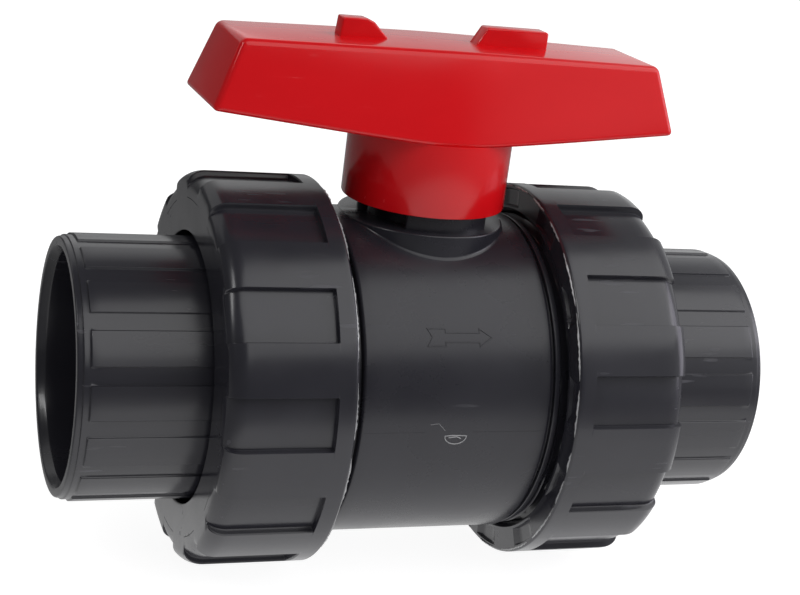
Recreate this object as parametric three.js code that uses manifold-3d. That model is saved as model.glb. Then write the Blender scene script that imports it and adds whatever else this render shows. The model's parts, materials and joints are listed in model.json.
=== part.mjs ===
// True-union quarter-turn ball valve with solvent-weld sockets for 63 mm pipe.
// Millimetres. The origin is the ball's centre, +X is the flow direction and +Z is the stem.
import * as THREE from "three";
import { mergeVertices } from "three/addons/utils/BufferGeometryUtils.js";
import Module from "manifold-3d";

const wasm = await Module();
wasm.setup();

// Driving dimensions.
const GAP = 0.3; // clearance between two pieces that touch
const HALF_LENGTH = 100; // ball centre to a socket's mouth
const SOCKET_RADIUS = 31.5; // bore for a 63 mm pipe
const SOCKET_DEPTH = 38;
const SOCKET_TAPER = 0.3; // narrowing of the radius from mouth to floor
const PASSAGE_RADIUS = 24.5; // bore of the flow way
const BALL_RADIUS = 36;

const BODY_HALF = 47; // ball centre to the body's end face
const BARREL_RADIUS = 46.6;
const BARREL_HALF = 27.3;
const COLLAR_RADIUS = 45.9; // short plain collar beside the barrel
const COLLAR_HALF = 30;
const THREAD_RADIUS = 45.3;
const THREAD_CHAMFER = 1.5;
const CAVITY_RADIUS = 37.6; // the ball goes in through the upstream end
const POCKET_RADIUS = 31.4; // holds a seat and its cushion
const POCKET_MOUTH = 18.5;
const POCKET_FLOOR = 30.2;
const FACE_GROOVE = { inner: 31.6, outer: 35.4, depth: 3.2 };
const FACE_RING = { radius: 33.5, section: 1.45, inset: 1.55 }; // inset from the grooved face
const SEAT = { inner: 25, outer: 31, back: 27.6, ballGap: 0.4 };
const CUSHION = { inner: 26, outer: 30.8, front: 27.9 };

const CARRIER_RADIUS = 37.2;
const CARRIER_GROOVE = { near: 33, far: 36.2, root: 34.6 }; // distances from the ball's centre
const CARRIER_RING = { x: -34.6, radius: 35.9, section: 1.15 };
const CARRIER_NOTCH = { reach: 30.8, halfWidth: 3.3, depth: 5.5 };

const PLATFORM_RADIUS = 23.6; // round pad under the handle
const PLATFORM_TOP = 46.5;
const NECK_RADIUS = 15;
const NECK_TOP = 56.5;
const LUG_RADIUS = 20.2; // two arc-shaped stops around the neck
const LUG_TOP = 54;
const LUG_WIDTH = 77; // degrees
const LUG_CENTRE = -83.5; // degrees from +X; the other one is opposite

const STEM_RADIUS = 9;
const STEM_HOLE_RADIUS = 9.4;
const STEM_FLANGE = { radius: 12.6, bottom: 37, top: 40 };
const STEM_POCKET = { radius: 13.2, top: 41.5 };
const STEM_GROOVES = [44.4, 49.6]; // lower edge of each O-ring groove
const STEM_GROOVE = { width: 3, root: 6.6 };
const STEM_RING = { radius: 7.95, section: 1.15 };
const WASHER_INNER_RADIUS = 9.5;
const WASHER_GAP = 0.25;
const STEM_SQUARE = 12.6;
const STEM_TOP = 72;
const TANG = { width: 10, length: 24, bottom: 29.4, roundRadius: 12 };
const SLOT = { width: 10.6, bottom: 29 };

const NUT_INNER_END = 31.5; // the nut's end beside the barrel
const NUT_OUTER_END = 65.3;
const NUT_RADIUS = 54.8;
const NUT_FACE_RADIUS = 51.4; // edge of the flat outer end, past a rounded shoulder
const NUT_SHOULDER = 5.4;
const NUT_CHAMFER = 1; // edge beside the barrel
const NUT_BORE_RADIUS = 46.3;
const NUT_HOLE_RADIUS = 38;
const NUT_WALL_FACE = 57; // inner side of the end wall
const GRIP_COUNT = 12;
const GRIP_DEPTH = 1.8;
const GRIP_RIM = 5.1; // plain rim beside the barrel
const GRIP_WALL = 0.35; // half the width of a recess's side wall, in degrees
const GRIP_PHASE = { left: 4.5, right: 10.2 }; // first recess, degrees up from -Y

const FLANGE_RADIUS = 43.5;
const FLANGE_BACK = 56.7;
const TAIL_RADIUS = 36;
const PAD_COUNT = 16;
const PAD_WIDTH = 14.8; // degrees
const PAD_HEIGHT = 0.55;
const PAD_END = 97; // where the pads stop, short of the mouth
const PAD_WALL = 0.4; // width of a pad's side wall, in degrees
const PAD_PHASE = { left: 5.3, right: 9.6 }; // first pad, degrees up from -Y
const MOUTH_CHAMFER = { length: 1, outer: 0.7, inner: 1 };

const SKIRT_RADIUS = 23.15;
const SKIRT_BORE_RADIUS = 20.95;
const SKIRT_BOTTOM = 51.1;
const SKIRT_TOP = 71.3; // where it meets the wing
const WING = {
  topHalf: 60.5,
  bottomHalf: 67.2,
  topWidthEnd: 14.4,
  topWidthMid: 16.6,
  bottomWidthEnd: 17.1,
  bottomWidthMid: 22.6,
  topEnd: 95.1,
  topMid: 95.8,
  bottomEnd: 76.2,
  bottomMid: 70.8,
  round: 0.16, // length of the bend at the middle, as a share of the half length
};
const WING_WALL = 2.8;
const HUB_RADIUS = 12.5;
const HUB_BOTTOM = 57;
const SOCKET_SQUARE = 13.2;
const STOP_RIB_CENTRE = 51.5; // degrees from +X with the valve open
const STOP_RIB_WIDTH = 10;
const STOP_RIB = { inner: 15.8, bottom: 51.5, top: 66 };
const WEB_THICKNESS = 2.2;
const LONG_WEB_BOTTOM = 76.5;
const CROSS_WEB_BOTTOM = 78.5;
const CROSS_WEBS = [-51, -37, 37, 51];
const TAB_TOP = 100.6;
const TAB_WIDTH = 5.5;
const RIGHT_TAB = { start: 8, end: 30.4, slopeTop: 11.8 };
const LEFT_TAB = { start: -30.6, end: -17, shoulder: 96.6, slopeTop: -21.8, corner: -30.2 };

const ROUND = 44; // sides of the large turned pieces
const MEDIUM = 32;
const SMALL = 20;
const PAST = 1; // how far a cutting or joining solid runs on past a face

const pvc = { color: 0x3b3c40, roughness: 0.42, metalness: 0 };
const redAbs = { color: 0xc41e26, roughness: 0.22, metalness: 0 };
const ptfe = { color: 0xe9e7e0, roughness: 0.5, metalness: 0 };
const rubber = { color: 0x141414, roughness: 0.8, metalness: 0 };

const radians = THREE.MathUtils.degToRad;

// ---- Solids ----

function toSolid(geometry) {
  const bare = new THREE.BufferGeometry();
  bare.setAttribute("position", geometry.getAttribute("position"));
  bare.setIndex(geometry.index);
  const merged = mergeVertices(bare, 1e-4);
  const mesh = new wasm.Mesh({
    numProp: 3,
    vertProperties: new Float32Array(merged.attributes.position.array),
    triVerts: new Uint32Array(merged.index.array),
  });
  return new wasm.Manifold(mesh);
}

function toGeometry(solid) {
  const mesh = solid.getMesh();
  const geometry = new THREE.BufferGeometry();
  geometry.setAttribute("position", new THREE.BufferAttribute(new Float32Array(mesh.vertProperties), 3));
  geometry.setIndex(new THREE.BufferAttribute(new Uint32Array(mesh.triVerts), 1));
  geometry.computeVertexNormals();
  return geometry;
}

function joined(solids) {
  return solids.reduce((whole, piece) => whole.add(piece));
}

// Turns an outline round the X axis. Its corners are [x, radius]; one that doesn't start and
// end on the axis is closed into a ring.
function turnedGeometry(outline, sides) {
  const area = outline.reduce((sum, [x, r], i) => {
    const [nextX, nextR] = outline[(i + 1) % outline.length];
    return sum + x * nextR - nextX * r;
  }, 0);
  const ordered = area > 0 ? [...outline].reverse() : [...outline];
  if (ordered[0][1] > 0) ordered.push(ordered[0]);
  const points = ordered.map(([x, r]) => new THREE.Vector2(r, x));
  return new THREE.LatheGeometry(points, sides).rotateZ(-Math.PI / 2);
}

function turned(outline, sides = ROUND) {
  return toSolid(turnedGeometry(outline, sides));
}

// The same, round the Z axis.
function turnedUpright(outline, sides = SMALL) {
  return toSolid(turnedGeometry(outline, sides).rotateY(-Math.PI / 2));
}

function uprightCylinder(radius, bottom, top, sides = SMALL) {
  return turnedUpright([[bottom, 0], [bottom, radius], [top, radius], [top, 0]], sides);
}

function block(low, high) {
  const size = high.map((value, i) => value - low[i]);
  const centre = high.map((value, i) => (value + low[i]) / 2);
  return toSolid(new THREE.BoxGeometry(...size).translate(...centre));
}

// A ring about the X axis whose section changes with the angle. sectionAt(i) gives column i's
// corners as [x, radius], the outer side first, in the direction of +X.
function gridRing(angles, sectionAt) {
  const sections = angles.map((angle, i) => sectionAt(i));
  const corners = sections[0].length;
  const positions = [];
  const indices = [];
  angles.forEach((angle, i) => {
    sections[i].forEach(([x, r]) => {
      positions.push(x, -r * Math.cos(radians(angle)), r * Math.sin(radians(angle)));
    });
    const next = (i + 1) % angles.length;
    for (let j = 0; j < corners; j += 1) {
      const a = i * corners + j;
      const b = next * corners + j;
      const c = next * corners + ((j + 1) % corners);
      const d = i * corners + ((j + 1) % corners);
      indices.push(a, c, b, a, d, c);
    }
  });
  const geometry = new THREE.BufferGeometry();
  geometry.setAttribute("position", new THREE.Float32BufferAttribute(positions, 3));
  geometry.setIndex(indices);
  return toSolid(geometry);
}

// The part of an upright tube between two angles, measured from +X.
function arcBlock(inner, outer, bottom, top, centre, width) {
  const shape = new THREE.Shape();
  const start = radians(centre - width / 2);
  const end = radians(centre + width / 2);
  shape.absarc(0, 0, outer, start, end, false);
  shape.absarc(0, 0, inner, end, start, true);
  const settings = { depth: top - bottom, bevelEnabled: false, curveSegments: 8 };
  return toSolid(new THREE.ExtrudeGeometry(shape, settings).translate(0, 0, bottom));
}

function toroid(centre, ringRadius, sectionRadius, sides, upright) {
  const geometry = new THREE.TorusGeometry(ringRadius, sectionRadius, 5, sides);
  if (!upright) geometry.rotateY(Math.PI / 2);
  return toSolid(geometry.translate(...centre));
}

// ---- Body and its inner parts ----

function body() {
  const groove = FACE_GROOVE;
  const shell = turned([
    [-BODY_HALF, THREAD_RADIUS - THREAD_CHAMFER],
    [-BODY_HALF + THREAD_CHAMFER, THREAD_RADIUS],
    [-COLLAR_HALF, THREAD_RADIUS],
    [-COLLAR_HALF, COLLAR_RADIUS],
    [-BARREL_HALF, COLLAR_RADIUS],
    [-BARREL_HALF, BARREL_RADIUS],
    [BARREL_HALF, BARREL_RADIUS],
    [BARREL_HALF, COLLAR_RADIUS],
    [COLLAR_HALF, COLLAR_RADIUS],
    [COLLAR_HALF, THREAD_RADIUS],
    [BODY_HALF - THREAD_CHAMFER, THREAD_RADIUS],
    [BODY_HALF, THREAD_RADIUS - THREAD_CHAMFER],
    [BODY_HALF, groove.outer],
    [BODY_HALF - groove.depth, groove.outer],
    [BODY_HALF - groove.depth, groove.inner],
    [BODY_HALF, groove.inner],
    [BODY_HALF, PASSAGE_RADIUS],
    [POCKET_FLOOR, PASSAGE_RADIUS],
    [POCKET_FLOOR, POCKET_RADIUS],
    [POCKET_MOUTH, POCKET_RADIUS],
    [POCKET_MOUTH, CAVITY_RADIUS],
    [-BODY_HALF, CAVITY_RADIUS],
  ]);
  // The ring cut beside the pad leaves the pad's own wall standing as far down as the barrel.
  const padRing = turnedUpright(
    [
      [PLATFORM_TOP, PLATFORM_RADIUS],
      [PLATFORM_TOP, NECK_RADIUS],
      [NECK_TOP, NECK_RADIUS],
      [NECK_TOP, PLATFORM_RADIUS],
    ],
    ROUND,
  );
  const cavityEnd = POCKET_MOUTH - PAST;
  const roof = uprightCylinder(PLATFORM_RADIUS, BALL_RADIUS - PAST, PLATFORM_TOP, ROUND);
  const cavity = turned([
    [-BODY_HALF, 0],
    [-BODY_HALF, CAVITY_RADIUS],
    [cavityEnd, CAVITY_RADIUS],
    [cavityEnd, 0],
  ]);
  const neck = uprightCylinder(NECK_RADIUS, PLATFORM_TOP - PAST, NECK_TOP, MEDIUM);
  const lugs = [LUG_CENTRE, LUG_CENTRE + 180].map((centre) =>
    arcBlock(NECK_RADIUS - PAST, LUG_RADIUS, PLATFORM_TOP - PAST, LUG_TOP, centre, LUG_WIDTH),
  );
  const pocket = uprightCylinder(STEM_POCKET.radius, BALL_RADIUS - PAST, STEM_POCKET.top, MEDIUM);
  const hole = uprightCylinder(STEM_HOLE_RADIUS, STEM_POCKET.top - PAST, NECK_TOP + PAST);
  return joined([shell, roof.subtract(cavity)])
    .subtract(padRing)
    .add(neck)
    .add(lugs[0])
    .add(lugs[1])
    .subtract(pocket)
    .subtract(hole);
}

function ball() {
  const sphere = toSolid(new THREE.SphereGeometry(BALL_RADIUS, 28, 14).rotateX(Math.PI / 2));
  const reach = BALL_RADIUS + PAST;
  const bore = turned([[-reach, 0], [-reach, PASSAGE_RADIUS], [reach, PASSAGE_RADIUS], [reach, 0]], MEDIUM);
  const half = SLOT.width / 2;
  const slot = block([-half, -BALL_RADIUS, SLOT.bottom], [half, BALL_RADIUS, reach]);
  return sphere.subtract(bore).subtract(slot);
}

function stem() {
  const outline = [[STEM_FLANGE.bottom, 0]];
  outline.push([STEM_FLANGE.bottom, STEM_FLANGE.radius], [STEM_FLANGE.top, STEM_FLANGE.radius]);
  outline.push([STEM_FLANGE.top, STEM_RADIUS]);
  for (const bottom of STEM_GROOVES) {
    const top = bottom + STEM_GROOVE.width;
    outline.push([bottom, STEM_RADIUS], [bottom, STEM_GROOVE.root]);
    outline.push([top, STEM_GROOVE.root], [top, STEM_RADIUS]);
  }
  outline.push([NECK_TOP + GAP, STEM_RADIUS], [NECK_TOP + GAP, 0]);
  const shaft = turnedUpright(outline);
  const half = STEM_SQUARE / 2;
  const square = block([-half, -half, NECK_TOP - PAST], [half, half, STEM_TOP]);
  const tangBlock = block(
    [-TANG.width / 2, -TANG.length / 2, TANG.bottom],
    [TANG.width / 2, TANG.length / 2, STEM_FLANGE.bottom + PAST],
  );
  const tang = tangBlock.intersect(uprightCylinder(TANG.roundRadius, TANG.bottom - PAST, STEM_FLANGE.top));
  return joined([shaft, square, tang]);
}

function stemORing(bottom) {
  const middle = bottom + STEM_GROOVE.width / 2;
  return toroid([0, 0, middle], STEM_RING.radius, STEM_RING.section, SMALL, true);
}

function thrustWasher() {
  const bottom = STEM_FLANGE.top + WASHER_GAP;
  const top = STEM_POCKET.top - WASHER_GAP;
  const inner = WASHER_INNER_RADIUS;
  const outer = STEM_FLANGE.radius;
  return turnedUpright([[bottom, inner], [bottom, outer], [top, outer], [top, inner]]);
}

// The downstream seat: its inner side follows the ball, a gap away.
function seat() {
  const { inner, outer, back } = SEAT;
  const faceAt = (radius) => Math.sqrt((BALL_RADIUS + SEAT.ballGap) ** 2 - radius ** 2);
  const middle = (inner + outer) / 2;
  const outline = [[faceAt(inner), inner], [faceAt(middle), middle], [faceAt(outer), outer]];
  outline.push([back, outer], [back, inner]);
  return turned(outline, MEDIUM);
}

function seatCushion() {
  const { inner, outer, front } = CUSHION;
  const back = POCKET_FLOOR - GAP;
  return turned([[front, inner], [front, outer], [back, outer], [back, inner]], MEDIUM);
}

function seatCarrier() {
  const face = -BODY_HALF + GAP;
  const outer = CARRIER_RADIUS;
  const groove = FACE_GROOVE;
  const ring = turned([
    [face, groove.outer],
    [face, outer],
    [-CARRIER_GROOVE.far, outer],
    [-CARRIER_GROOVE.far, CARRIER_GROOVE.root],
    [-CARRIER_GROOVE.near, CARRIER_GROOVE.root],
    [-CARRIER_GROOVE.near, outer],
    [-POCKET_MOUTH, outer],
    [-POCKET_MOUTH, POCKET_RADIUS],
    [-POCKET_FLOOR, POCKET_RADIUS],
    [-POCKET_FLOOR, PASSAGE_RADIUS],
    [face, PASSAGE_RADIUS],
    [face, groove.inner],
    [face + groove.depth, groove.inner],
    [face + groove.depth, groove.outer],
  ]);
  // Two notches take the handle's tabs, so that the handle unscrews the carrier.
  const { reach, halfWidth, depth } = CARRIER_NOTCH;
  const notch = block([face - PAST, -reach, -halfWidth], [face + depth, reach, halfWidth]);
  return ring.subtract(notch);
}

function carrierORing() {
  return toroid([CARRIER_RING.x, 0, 0], CARRIER_RING.radius, CARRIER_RING.section, MEDIUM, false);
}

function faceORing(x) {
  return toroid([x, 0, 0], FACE_RING.radius, FACE_RING.section, MEDIUM, false);
}

// ---- Unions ----

// Twelve recesses and twelve lands round a nut, with a steep wall between them.
function gripColumns(phase) {
  const pitch = 360 / GRIP_COUNT;
  const edge = pitch / 4;
  const wall = GRIP_WALL;
  const columns = [];
  for (let k = 0; k < GRIP_COUNT; k += 1) {
    const middle = phase + k * pitch;
    for (const offset of [-edge + wall, 0, edge - wall]) {
      columns.push({ angle: middle + offset, recessed: true });
    }
    for (const offset of [edge + wall, 2 * edge, 3 * edge - wall]) {
      columns.push({ angle: middle + offset, recessed: false });
    }
  }
  return columns;
}

// The downstream nut.
function unionNut(phase) {
  const columns = gripColumns(phase);
  const shoulder = NUT_OUTER_END - NUT_SHOULDER;
  const rimEnd = NUT_INNER_END + GRIP_RIM;
  return gridRing(columns.map((column) => column.angle), (i) => {
    const depth = columns[i].recessed ? GRIP_DEPTH : 0;
    return [
      [NUT_INNER_END, NUT_RADIUS - NUT_CHAMFER],
      [NUT_INNER_END + NUT_CHAMFER, NUT_RADIUS],
      [rimEnd, NUT_RADIUS],
      [rimEnd + GRIP_WALL, NUT_RADIUS - depth],
      [shoulder, NUT_RADIUS - depth],
      [shoulder + (2 / 3) * NUT_SHOULDER, NUT_RADIUS - NUT_CHAMFER - depth / 2],
      [NUT_OUTER_END, NUT_FACE_RADIUS],
      [NUT_OUTER_END, NUT_HOLE_RADIUS],
      [NUT_WALL_FACE, NUT_HOLE_RADIUS],
      [NUT_WALL_FACE, NUT_BORE_RADIUS],
      [NUT_INNER_END, NUT_BORE_RADIUS],
    ];
  });
}

// The downstream end connector: a flange inside the nut, a socket for the pipe and raised pads.
function endConnector(phase) {
  const pitch = 360 / PAD_COUNT;
  const columns = [];
  for (let k = 0; k < PAD_COUNT; k += 1) {
    const middle = phase + k * pitch;
    const half = PAD_WIDTH / 2;
    columns.push({ angle: middle - half, raised: true }, { angle: middle + half, raised: true });
    columns.push({ angle: middle + half + PAD_WALL, raised: false });
    columns.push({ angle: middle + pitch - half - PAD_WALL, raised: false });
  }
  const front = BODY_HALF + GAP;
  const socketFloor = HALF_LENGTH - SOCKET_DEPTH;
  return gridRing(columns.map((column) => column.angle), (i) => {
    const pad = TAIL_RADIUS + (columns[i].raised ? PAD_HEIGHT : 0);
    return [
      [front, FLANGE_RADIUS],
      [FLANGE_BACK, FLANGE_RADIUS],
      [FLANGE_BACK, pad],
      [PAD_END, pad],
      [PAD_END + PAD_WALL, TAIL_RADIUS],
      [HALF_LENGTH - MOUTH_CHAMFER.length, TAIL_RADIUS],
      [HALF_LENGTH, TAIL_RADIUS - MOUTH_CHAMFER.outer],
      [HALF_LENGTH, SOCKET_RADIUS + MOUTH_CHAMFER.inner],
      [HALF_LENGTH - MOUTH_CHAMFER.length, SOCKET_RADIUS + SOCKET_TAPER / 2],
      [socketFloor, SOCKET_RADIUS - SOCKET_TAPER / 2],
      [socketFloor, PASSAGE_RADIUS],
      [front, PASSAGE_RADIUS],
    ];
  });
}

// ---- Handle ----

// A closed skin through a row of four-cornered sections.
function loft(sections) {
  const positions = sections.flat(2);
  const indices = [];
  for (let i = 0; i + 1 < sections.length; i += 1) {
    for (let j = 0; j < 4; j += 1) {
      const a = i * 4 + j;
      const b = i * 4 + ((j + 1) % 4);
      indices.push(a, b, b + 4, a, b + 4, a + 4);
    }
  }
  const last = (sections.length - 1) * 4;
  indices.push(0, 2, 1, 0, 3, 2);
  indices.push(last, last + 1, last + 2, last, last + 2, last + 3);
  const geometry = new THREE.BufferGeometry();
  geometry.setAttribute("position", new THREE.Float32BufferAttribute(positions, 3));
  geometry.setIndex(indices);
  return toSolid(geometry);
}

// The wing's outer skin, or with an inset the hollow inside it, which is open below. Each side
// runs straight from the tip and bends round the middle.
function wingSkin(inset, topDrop, bottomDrop) {
  const stations = [-1, -0.6, -0.3, -0.16, -0.06, 0.06, 0.16, 0.3, 0.6, 1];
  return loft(
    stations.map((s) => {
      const bend = (Math.hypot(s, WING.round) - WING.round) / (Math.hypot(1, WING.round) - WING.round);
      const from = (middle, end) => middle + (end - middle) * bend;
      const topX = s * (WING.topHalf - inset);
      const bottomX = s * (WING.bottomHalf - inset);
      const topY = from(WING.topWidthMid, WING.topWidthEnd) - inset;
      const bottomY = from(WING.bottomWidthMid, WING.bottomWidthEnd) - inset;
      const topZ = from(WING.topMid, WING.topEnd) - topDrop;
      const bottomZ = from(WING.bottomMid, WING.bottomEnd) - bottomDrop;
      return [
        [bottomX, -bottomY, bottomZ],
        [bottomX, bottomY, bottomZ],
        [topX, topY, topZ],
        [topX, -topY, topZ],
      ];
    }),
  );
}

// A spanner tab on the wing's top: an upright plate whose outline lies in the XZ plane.
function tab(corners) {
  const shape = new THREE.Shape(corners.map(([x, z]) => new THREE.Vector2(x, z)));
  const geometry = new THREE.ExtrudeGeometry(shape, { depth: TAB_WIDTH, bevelEnabled: false });
  return toSolid(geometry.rotateX(Math.PI / 2).translate(0, TAB_WIDTH / 2, 0));
}

function handle() {
  const skirt = uprightCylinder(SKIRT_RADIUS, SKIRT_BOTTOM, SKIRT_TOP, ROUND);
  const hollow = wingSkin(WING_WALL, WING_WALL, PAST);
  // Outside the skirt's line the hollow is split into cells by thin webs.
  const half = WEB_THICKNESS / 2;
  const reachX = WING.bottomHalf;
  const reachY = WING.bottomWidthMid;
  const webs = [block([-reachX, -half, LONG_WEB_BOTTOM], [reachX, half, WING.topMid])];
  for (const x of CROSS_WEBS) {
    webs.push(block([x - half, -reachY, CROSS_WEB_BOTTOM], [x + half, reachY, WING.topMid]));
  }
  const core = uprightCylinder(SKIRT_RADIUS, SKIRT_BOTTOM, WING.topMid, ROUND);
  const cells = hollow.subtract(core).subtract(joined(webs));
  // Inside it, the bore runs up to the wing's top round the hub and two stop ribs.
  const boreAt = (bottom, top) => uprightCylinder(SKIRT_BORE_RADIUS, bottom, top, ROUND);
  const upperBore = boreAt(SKIRT_TOP - PAST, WING.topMid).intersect(hollow);
  const lowerBore = boreAt(SKIRT_BOTTOM - PAST, SKIRT_TOP);
  const hub = uprightCylinder(HUB_RADIUS, HUB_BOTTOM, WING.topMid, SMALL);
  const ribOuter = SKIRT_BORE_RADIUS + PAST;
  const stops = [STOP_RIB_CENTRE, STOP_RIB_CENTRE + 180].map((centre) =>
    arcBlock(STOP_RIB.inner, ribOuter, STOP_RIB.bottom, STOP_RIB.top, centre, STOP_RIB_WIDTH),
  );
  const bore = lowerBore.add(upperBore).subtract(joined([hub, ...stops]));
  const side = SOCKET_SQUARE / 2;
  const socket = block([-side, -side, HUB_BOTTOM - PAST], [side, side, STEM_TOP + PAST]);
  const base = WING.topEnd - PAST;
  const tabs = [
    tab([
      [RIGHT_TAB.start, base],
      [RIGHT_TAB.end, base],
      [RIGHT_TAB.end, TAB_TOP],
      [RIGHT_TAB.slopeTop, TAB_TOP],
    ]),
    tab([
      [LEFT_TAB.start, base],
      [LEFT_TAB.end, base],
      [LEFT_TAB.end, LEFT_TAB.shoulder],
      [LEFT_TAB.slopeTop, TAB_TOP],
      [LEFT_TAB.corner, TAB_TOP],
    ]),
  ];
  return joined([wingSkin(0, 0, 0), skirt, ...tabs])
    .subtract(cells)
    .subtract(bore)
    .subtract(socket);
}

// ---- Assembly ----

const valve = new THREE.Group();

// The upstream pieces are drawn as downstream ones, in a group that mirrors them.
const upstream = new THREE.Group();
upstream.scale.x = -1;
valve.add(upstream);

function place(name, solid, look, group = valve) {
  const mesh = new THREE.Mesh(toGeometry(solid), new THREE.MeshStandardMaterial(look));
  mesh.name = name;
  group.add(mesh);
}

place("body", body(), pvc);
place("ball", ball(), pvc);
place("stem", stem(), pvc);
place("stem_o_ring_lower", stemORing(STEM_GROOVES[0]), rubber);
place("stem_o_ring_upper", stemORing(STEM_GROOVES[1]), rubber);
place("thrust_washer", thrustWasher(), ptfe);
place("seat_downstream", seat(), ptfe);
place("seat_upstream", seat(), ptfe, upstream);
place("seat_cushion_downstream", seatCushion(), rubber);
place("seat_cushion_upstream", seatCushion(), rubber, upstream);
place("seat_carrier", seatCarrier(), pvc);
place("carrier_o_ring", carrierORing(), rubber);
place("face_o_ring_left", faceORing(-BODY_HALF + GAP + FACE_RING.inset), rubber);
place("face_o_ring_right", faceORing(BODY_HALF - FACE_RING.inset), rubber);
place("end_connector_left", endConnector(PAD_PHASE.left), pvc, upstream);
place("end_connector_right", endConnector(PAD_PHASE.right), pvc);
place("union_nut_left", unionNut(GRIP_PHASE.left), pvc, upstream);
place("union_nut_right", unionNut(GRIP_PHASE.right), pvc);
place("handle", handle(), redAbs);

export default valve;
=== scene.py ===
"""Visual model of a true-union ball valve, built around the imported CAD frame. Lengths are written in
millimetres in the frame's axes (+X flow, +Z stem, origin at the ball's centre) and scaled to metres."""

import json
import math
import random

import bmesh
import bpy
from mathutils import Matrix, Vector


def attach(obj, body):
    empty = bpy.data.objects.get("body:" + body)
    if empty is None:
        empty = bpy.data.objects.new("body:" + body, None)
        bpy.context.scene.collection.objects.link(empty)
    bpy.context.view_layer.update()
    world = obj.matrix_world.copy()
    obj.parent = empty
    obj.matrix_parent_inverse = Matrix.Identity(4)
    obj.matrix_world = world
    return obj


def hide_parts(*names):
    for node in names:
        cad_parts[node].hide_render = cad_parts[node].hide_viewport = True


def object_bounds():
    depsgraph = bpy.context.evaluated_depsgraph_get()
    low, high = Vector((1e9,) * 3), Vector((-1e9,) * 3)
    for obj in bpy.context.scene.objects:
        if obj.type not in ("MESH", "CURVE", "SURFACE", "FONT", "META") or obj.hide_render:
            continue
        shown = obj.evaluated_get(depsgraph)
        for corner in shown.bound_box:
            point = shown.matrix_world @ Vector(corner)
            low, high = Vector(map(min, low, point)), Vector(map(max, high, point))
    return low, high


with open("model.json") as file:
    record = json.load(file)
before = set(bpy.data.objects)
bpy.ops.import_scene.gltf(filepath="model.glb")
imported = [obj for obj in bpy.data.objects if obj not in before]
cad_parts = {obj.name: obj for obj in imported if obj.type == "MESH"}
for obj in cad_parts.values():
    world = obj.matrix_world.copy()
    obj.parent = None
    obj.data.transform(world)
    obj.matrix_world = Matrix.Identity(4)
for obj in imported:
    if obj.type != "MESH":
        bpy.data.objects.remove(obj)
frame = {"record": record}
cad_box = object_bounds()

MM = 0.001
TAU = 2 * math.pi

# ---- Driving dimensions ----

HALF_LENGTH = 100.0
SOCKET_RADIUS = 31.5
SOCKET_FLOOR = 62.0
PASSAGE_RADIUS = 24.5

BARREL_RADIUS = 46.6
BARREL_HALF = 27.3
BARREL_GROOVE_WIDTH = 1.0  # thin groove between the barrel and a collar
BARREL_GROOVE_ROOT = 44.7
COLLAR_HALF = 30.0
COLLAR_RADIUS = 46.0
BODY_HALF = 47.0
CAVITY_RADIUS = 37.6
NOSE_RADIUS = 42.6  # the threaded end's edge
NOSE_LENGTH = 1.1
FACE_GROOVE_INNER, FACE_GROOVE_OUTER, FACE_GROOVE_DEPTH = 31.6, 35.4, 3.2
SEAT_POCKET_RADIUS, SEAT_POCKET_MOUTH, SEAT_POCKET_FLOOR = 31.4, 18.5, 30.2
PLATFORM_RADIUS = 23.5
PLATFORM_TOP = 46.5
PLATFORM_BASE = 38.0  # the platform's underside, hidden in the barrel's wall
PLATFORM_FILLET = 0.7
PLATFORM_RIM = 0.6
NECK_RADIUS = 15.0
NECK_TOP = 56.5
NECK_BASE = 45.0
LUG_RADIUS = 20.2
LUG_TOP = 54.0
LUG_CENTRE = -83.5  # degrees from +X
LUG_WIDTH = 77.0  # degrees

THREAD_PITCH = 5.0
MALE_ROOT, MALE_CREST = 43.7, 45.8
FEMALE_ROOT, FEMALE_CREST = 46.5, 44.4
TOOTH_FLAT, TOOTH_FOOT = 0.12, 0.30  # half widths of a thread's tooth, in pitches

NUT_INNER_END = 31.5
NUT_OUTER_END = 65.3
NUT_RADIUS = 54.8
NUT_EDGE = 0.5  # chamfer beside the barrel
NUT_FACE_RADIUS = 51.0
NUT_SHOULDER_START = 60.0
NUT_SHOULDER_DROP = 3.8
NUT_HOLE_RADIUS = 38.0
NUT_WALL_FACE = 57.0
NUT_MOUTH_RADIUS = 47.6
NUT_MOUTH_LENGTH = 1.3
GRIP_COUNT = 12
GRIP_DEPTH = 1.8
GRIP_RIM_END = 36.6
GRIP_HALF_WIDTH = 7.5  # degrees
GRIP_WALL = 0.22  # half the width of a recess's side wall, in degrees
GRIP_PHASE = {"left": 4.5, "right": 10.2}  # degrees up from -Y
FACE_POCKET_DEPTH = 1.0
FACE_POCKET_HALF_WIDTH = 6.0  # degrees
FACE_POCKET_INNER, FACE_POCKET_OUTER = 48.2, 53.4
FLASH_RADIUS = 54.15
FLASH_ROOT = 0.45  # how far the flash starts inside the nut's end
FLASH_SEED = {"left": 11, "right": 7}

FLANGE_RADIUS = 43.5
FLANGE_FACE = 47.3
FLANGE_BACK = 56.7
TAIL_RADIUS = 36.0
PAD_COUNT = 16
PAD_WIDTH = 14.8  # degrees
PAD_HEIGHT = 0.55
PAD_END = 96.6
PAD_WALL = 0.28  # half the width of a pad's side wall, in degrees
PAD_PHASE = {"left": 5.3, "right": 9.6}  # degrees up from -Y

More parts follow.
